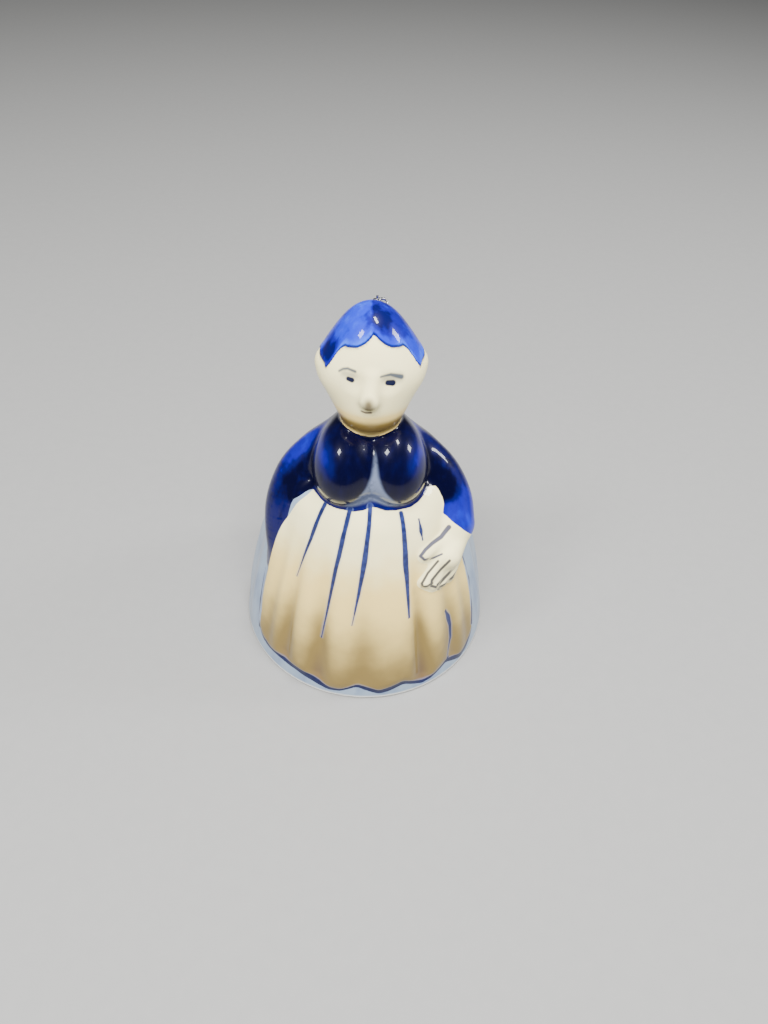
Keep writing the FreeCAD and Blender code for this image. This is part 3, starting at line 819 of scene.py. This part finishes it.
# the hand's lines: x, then mm up the slope that the back of the hand faces
THUMB_LINES = [
    ([(16.5, 18.7), (14.9, 16.7), (12.9, 15.4), (11.4, 14.1), (10.4, 12.8)], 0.5, 0.34),
    ([(10.4, 12.8), (11.3, 12.0), (13.3, 12.3), (15.1, 13.1)], 0.32, 0.2),
]
FINGER_LINES = [
    ([(14.3, 11.6), (12.2, 9.1), (11.0, 6.9), (11.2, 6.1), (12.2, 6.3), (13.2, 6.9)], 0.26, 0.28),
    ([(16.7, 11.7), (14.9, 9.7), (13.1, 7.6), (13.0, 6.3), (14.4, 5.9)], 0.3, 0.32),
    ([(18.2, 10.0), (16.4, 8.2), (14.6, 6.4)], 0.28, 0.42),
    ([(19.3, 9.3), (18.2, 7.9), (16.5, 6.4), (14.9, 5.5)], 0.28, 0.46),
]


# how soft a painted edge is, in mm
PAINT_EDGE = 0.07
GLAZE_FINISH = {
    "Roughness": 0.35,
    "Specular_IOR_Level": 0.1,
    "Coat_Weight": 0.6,
    "Coat_Roughness": 0.03,
    "Coat_IOR": 1.45,
}


def glaze_material():
    s = Shader("painted_glaze", **GLAZE_FINISH)
    fine = s.noise(1.1, 3.0)
    broad = s.noise(5.0, 2.0)
    streaks = s.noise(1.6, 3.0, (1, 1, 4))
    wobble = s.math("MULTIPLY_ADD", s.noise(2.2, 2.0), 0.4, -0.2)

    def inside(name, wobbly=1.0):
        """1 inside a painted region and 0 outside, with a hand-painted edge."""
        value = s.math("MULTIPLY_ADD", wobble, wobbly, s.field(name))
        return s.ramp(value, -PAINT_EDGE, PAINT_EDGE)

    def cloudy(cloud, amount, value):
        """The value, raised and lowered by a cloud."""
        return s.math("MULTIPLY_ADD", s.math("SUBTRACT", cloud, 0.5), amount, value)

    def blend(depth, steps):
        """A colour that changes from the first on, one (value, colour) step after another."""
        colour = steps[0][1]
        for (low, _), (high, brighter) in zip(steps, steps[1:]):
            colour = s.mix(s.ramp(depth, low, high), colour, brighter)
        return colour

    colour = s.mix(s.ramp(s.noise(4.0, 3.0, (1, 1, 3)), 0.32, 0.95), WASH, WASH_DEEP)
    # painted shade on the cream: tan in the pleats and low on the apron, brown under the chin
    painted_shade = cloudy(broad, 0.25, s.field("painted_shade"))
    cream = blend(painted_shade, [(0.0, CREAM_PALE), (0.5, CREAM), (1.3, CREAM_SHADED), (1.8, CREAM_SHADE)])
    colour = s.mix(inside("apron"), colour, cream)

    mottle = s.math("MULTIPLY", s.math("SUBTRACT", streaks, 0.5), s.field("mottle"))
    blue_tone_and_light = s.math("ADD", s.field("blue_tone_and_light"), mottle)
    # the navy carries painted light: a highlight on the tucked sleeve's ridges, a reflection towards the
    # cuff, shade by the bust
    navy = blend(blue_tone_and_light, [(0.0, NIGHT), (0.3, DEEP_BLUE), (0.6, COBALT), (1.0, BRIGHT_BLUE)])
    worn = s.ramp(fine, 0.2, 0.5, 0.55, 1.0)
    plastron = s.math("MULTIPLY", s.ramp(s.field("plastron"), -0.5, 0.7), worn)
    plastron = s.math("MULTIPLY", plastron, s.ramp(s.field("navy"), 0.5, 1.4))
    navy = s.mix(plastron, navy, PLASTRON_GREY)
    colour = s.mix(inside("navy"), colour, navy)
    colour = s.mix(inside("hand", wobbly=0.3), colour, CREAM_PALE)

    cap_depth = s.field("cap")
    toward_edge = s.ramp(cap_depth, 0.4, 2.2, 0.6, 0.0)
    cap_tone_and_light = cloudy(streaks, 1.2, s.math("ADD", toward_edge, 0.26))
    # on the cap's left half this adds the painted highlight on upward-facing parts
    cap_tone_and_light = s.math("ADD", cap_tone_and_light, s.field("blue_tone_and_light"))
    cap = blend(cap_tone_and_light, [(0.0, DEEP_BLUE), (0.35, COBALT), (0.75, BRIGHT_BLUE), (1.5, PALE_BLUE)])
    outline = s.ramp(s.math("ABSOLUTE", s.math("SUBTRACT", cap_depth, 0.2)), 0.1, 0.36, 1.0, 0.0)
    cap = s.mix(s.math("MULTIPLY", outline, 0.75), cap, DEEP_BLUE)
    colour = s.mix(inside("cap", wobbly=0.4), colour, cap)

    brush = s.mix(s.ramp(fine, 0.3, 0.7), BRUSH_BLUE, BRUSH_DEEP)
    brush = s.mix(s.field("stroke_tone"), brush, INK)
    half = cloudy(streaks, 0.25, s.field("stroke_half"))
    narrow = s.math("SUBTRACT", half, s.math("ABSOLUTE", s.field("stroke_offset")))
    near = s.ramp(s.field("stroke_distance"), STROKE_REACH - 0.1, STROKE_REACH + 0.1, 1.0, 0.0)
    stroke = s.math("MULTIPLY", s.ramp(narrow, -0.1, 0.1), near)
    bleed = s.math("MULTIPLY", s.math("MULTIPLY", s.ramp(narrow, -0.6, 0.1), near), 0.3)
    colour = s.mix(bleed, colour, BLEED_BLUE)
    colour = s.mix(stroke, colour, brush)

    x, y, z = s.node("ShaderNodeSeparateXYZ", {0: s.place}).outputs
    up_the_slope = s.math("MULTIPLY", s.math("ADD", y, z), math.sqrt(0.5))
    flat = s.node("ShaderNodeCombineXYZ", {0: x, 1: up_the_slope}).outputs[0]
    for lines, paint in ((THUMB_LINES, BRUSH_DEEP), (FINGER_LINES, INK)):
        marks = [([(u, v, 0) for u, v in path], first, last) for path, first, last in lines]
        mark = s.math("MULTIPLY", brush_mark(s, marks, 0.12, flat), s.field("hand_front"))
        colour = s.mix(s.math("MULTIPLY", mark, 0.92), colour, paint)

    # the face's brush marks, with painted shade over the eyes and on the nose
    for marks, soft, strength, paint in (
        (LID_SHADE, 0.8, 0.6, LID_SHADE_GREY),
        (BROWS, 0.2, 0.9, BROW_GREY),
        (EYES, 0.16, 1.0, INK),
        (NOSE_SHADOW, 0.9, 0.95, NOSE_SHADE),
        (MOUTH, 0.16, 0.9, LIP_BROWN),
    ):
        colour = s.mix(s.math("MULTIPLY", brush_mark(s, marks, soft), strength), colour, paint)

    colour = s.mix(s.field("inside"), colour, INNER_WHITE)
    colour = s.mix(s.field("bare"), colour, BISCUIT)
    s.set("Base Color", colour)
    s.set("Roughness", s.ramp(s.field("bare"), 0.0, 1.0, 0.35, 0.8))
    s.relief(s.math("MULTIPLY_ADD", stroke, 0.4, broad), 0.05, 0.35)
    return s.material


def wire_material(name, colour, dull_colour):
    """Drawn metal wire, dulled in patches."""
    s = Shader(name, Metallic=1.0, Roughness=0.3)
    tarnish = s.ramp(s.noise(1.5, 4.0), 0.4, 0.75)
    s.set("Base Color", s.mix(tarnish, colour, dull_colour))
    s.set("Roughness", s.ramp(s.noise(0.6, 3.0), 0.3, 0.7, 0.22, 0.45))
    s.relief(s.noise(0.15, 2.0, (1, 1, 6)), 0.02, 0.5)
    return s.material


def plaster_material():
    s = Shader("cast_plaster", Roughness=0.9)
    s.set("Base Color", s.mix(s.noise(1.2, 4.0), PLASTER, PLASTER_DAMP))
    pits = s.ramp(s.noise(0.5, 2.0), 0.6, 0.75, 1.0, 0.0)
    s.relief(s.math("MULTIPLY_ADD", pits, 0.7, s.noise(0.25, 3.0)), 0.15, 0.8)
    return s.material


def bead_material():
    s = Shader("bead_glaze", Roughness=0.3, Coat_Weight=1.0, Coat_Roughness=0.05)
    s.set("Base Color", s.mix(s.ramp(s.noise(2.5, 3.0), 0.4, 0.8), BEAD_WHITE, BEAD_GREY))
    s.relief(s.noise(3.0, 2.0), 0.06, 0.4)
    return s.material


# ---- pieces


def build_porcelain():
    points, quads, lid, outer_count = porcelain_mesh()
    mesh = bpy.data.meshes.new("porcelain_bell")
    mesh.from_pydata((points * MM).tolist(), [], quads.tolist() + lid.tolist())
    mesh.polygons.foreach_set("use_smooth", [True] * len(mesh.polygons))
    normals = np.zeros(len(points) * 3, np.float32)
    mesh.vertex_normals.foreach_get("vector", normals)
    normals = normals.reshape(-1, 3)
    slope = gradient(figure, points[:outer_count])
    normals[:outer_count] = slope / np.linalg.norm(slope, axis=1)[:, None]
    mesh.normals_split_custom_set_from_vertices(normals.tolist())
    inside = np.arange(len(points)) >= outer_count
    for name, values in paint_fields(points, normals, inside).items():
        layer = mesh.attributes.new(name, "FLOAT", "POINT")
        layer.data.foreach_set("value", values.astype(np.float32))
    mesh.materials.append(glaze_material())
    piece = bpy.data.objects.new("porcelain_bell", mesh)
    bpy.context.scene.collection.objects.link(piece)
    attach(piece, "bell")
    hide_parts("porcelain_body")


def finish_node(name, material):
    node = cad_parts[name]
    node.data.materials.clear()
    node.data.materials.append(material)


build_porcelain()
brass = wire_material("chain_brass", BRASS, BRASS_DULL)
finish_node("hanger_wire", wire_material("bright_steel", STEEL, STEEL_DULL))
finish_node("neck_plug", plaster_material())
finish_node("clapper_bead", bead_material())
for name in sorted(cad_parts):
    if name.startswith("chain_link") or name == "clapper_pin":
        finish_node(name, brass)


# ---- studio

# the camera's place in mm, its turn, tilt down and roll in degrees, and its lens in mm
CAMERA_PLACE = Vector((-4.854, -123.064, 154.268)) * MM
CAMERA_TURN = -4.0
CAMERA_TILT = 45.0
CAMERA_ROLL = 2.75
CAMERA_LENS = 27.04
CAMERA_NEAR = 0.01
FLOOR_SIZE = 3.0
LIGHT_DISTANCE = 0.6
ROOM_COLOUR = (0.75, 0.78, 0.82, 1)
ROOM_STRENGTH = 0.07
# degrees round the figure from its front, degrees up, size in m, power in W, colour, seen in the glaze
LIGHTS = [
    ("front_soft", -5, 62, (0.50, 0.40), 12.5, (1.0, 0.99, 0.96), False),
    ("window_left", -62, 52, (0.11, 0.14), 2.4, (0.98, 0.99, 1.0), True),
    ("window_right", 96, 30, (0.12, 0.14), 2.2, (0.98, 0.99, 1.0), True),
    ("ceiling_back", 122, 79, (0.18, 0.07), 3.2, (1.0, 0.99, 0.97), True),
]


def build_floor():
    bpy.ops.mesh.primitive_plane_add(size=FLOOR_SIZE)
    floor = bpy.context.object
    floor.name = "studio_floor"
    s = Shader("pale_floor", Roughness=0.65)
    s.set("Base Color", s.mix(s.noise(3.0, 3.0), FLOOR_PALE, FLOOR_GREY))
    floor.data.materials.append(s.material)


def area_light(name, place, target, size, power, colour, seen_in_glaze):
    data = bpy.data.lights.new(name, "AREA")
    data.shape = "RECTANGLE"
    data.size, data.size_y = size
    data.energy = power
    data.color = colour
    light = bpy.data.objects.new(name, data)
    light.location = place
    light.rotation_euler = (Vector(target) - Vector(place)).to_track_quat("-Z", "Y").to_euler()
    light.visible_glossy = seen_in_glaze
    bpy.context.scene.collection.objects.link(light)


def build_studio():
    build_floor()
    middle = (cad_low + cad_high) / 2
    for name, turn, height, size, power, colour, seen_in_glaze in LIGHTS:
        turn, height = math.radians(turn), math.radians(height)
        level, up = LIGHT_DISTANCE * math.cos(height), LIGHT_DISTANCE * math.sin(height)
        place = middle + Vector((level * math.sin(turn), -level * math.cos(turn), up))
        area_light(name, place, middle, size, power, colour, seen_in_glaze)
    world = bpy.data.worlds.new("soft_room")
    world.use_nodes = True
    room = world.node_tree.nodes["Background"]
    room.inputs["Color"].default_value = ROOM_COLOUR
    room.inputs["Strength"].default_value = ROOM_STRENGTH
    bpy.context.scene.world = world


def build_camera():
    data = bpy.data.cameras.new("camera")
    data.lens = CAMERA_LENS
    data.clip_start = CAMERA_NEAR
    camera = bpy.data.objects.new("camera", data)
    turn = Matrix.Rotation(math.radians(CAMERA_TURN), 4, "Z")
    tilt = Matrix.Rotation(math.radians(90 - CAMERA_TILT), 4, "X")
    roll = Matrix.Rotation(math.radians(CAMERA_ROLL), 4, "Z")
    camera.matrix_world = Matrix.Translation(CAMERA_PLACE) @ turn @ tilt @ roll
    bpy.context.scene.collection.objects.link(camera)
    bpy.context.scene.camera = camera


build_studio()
build_camera()
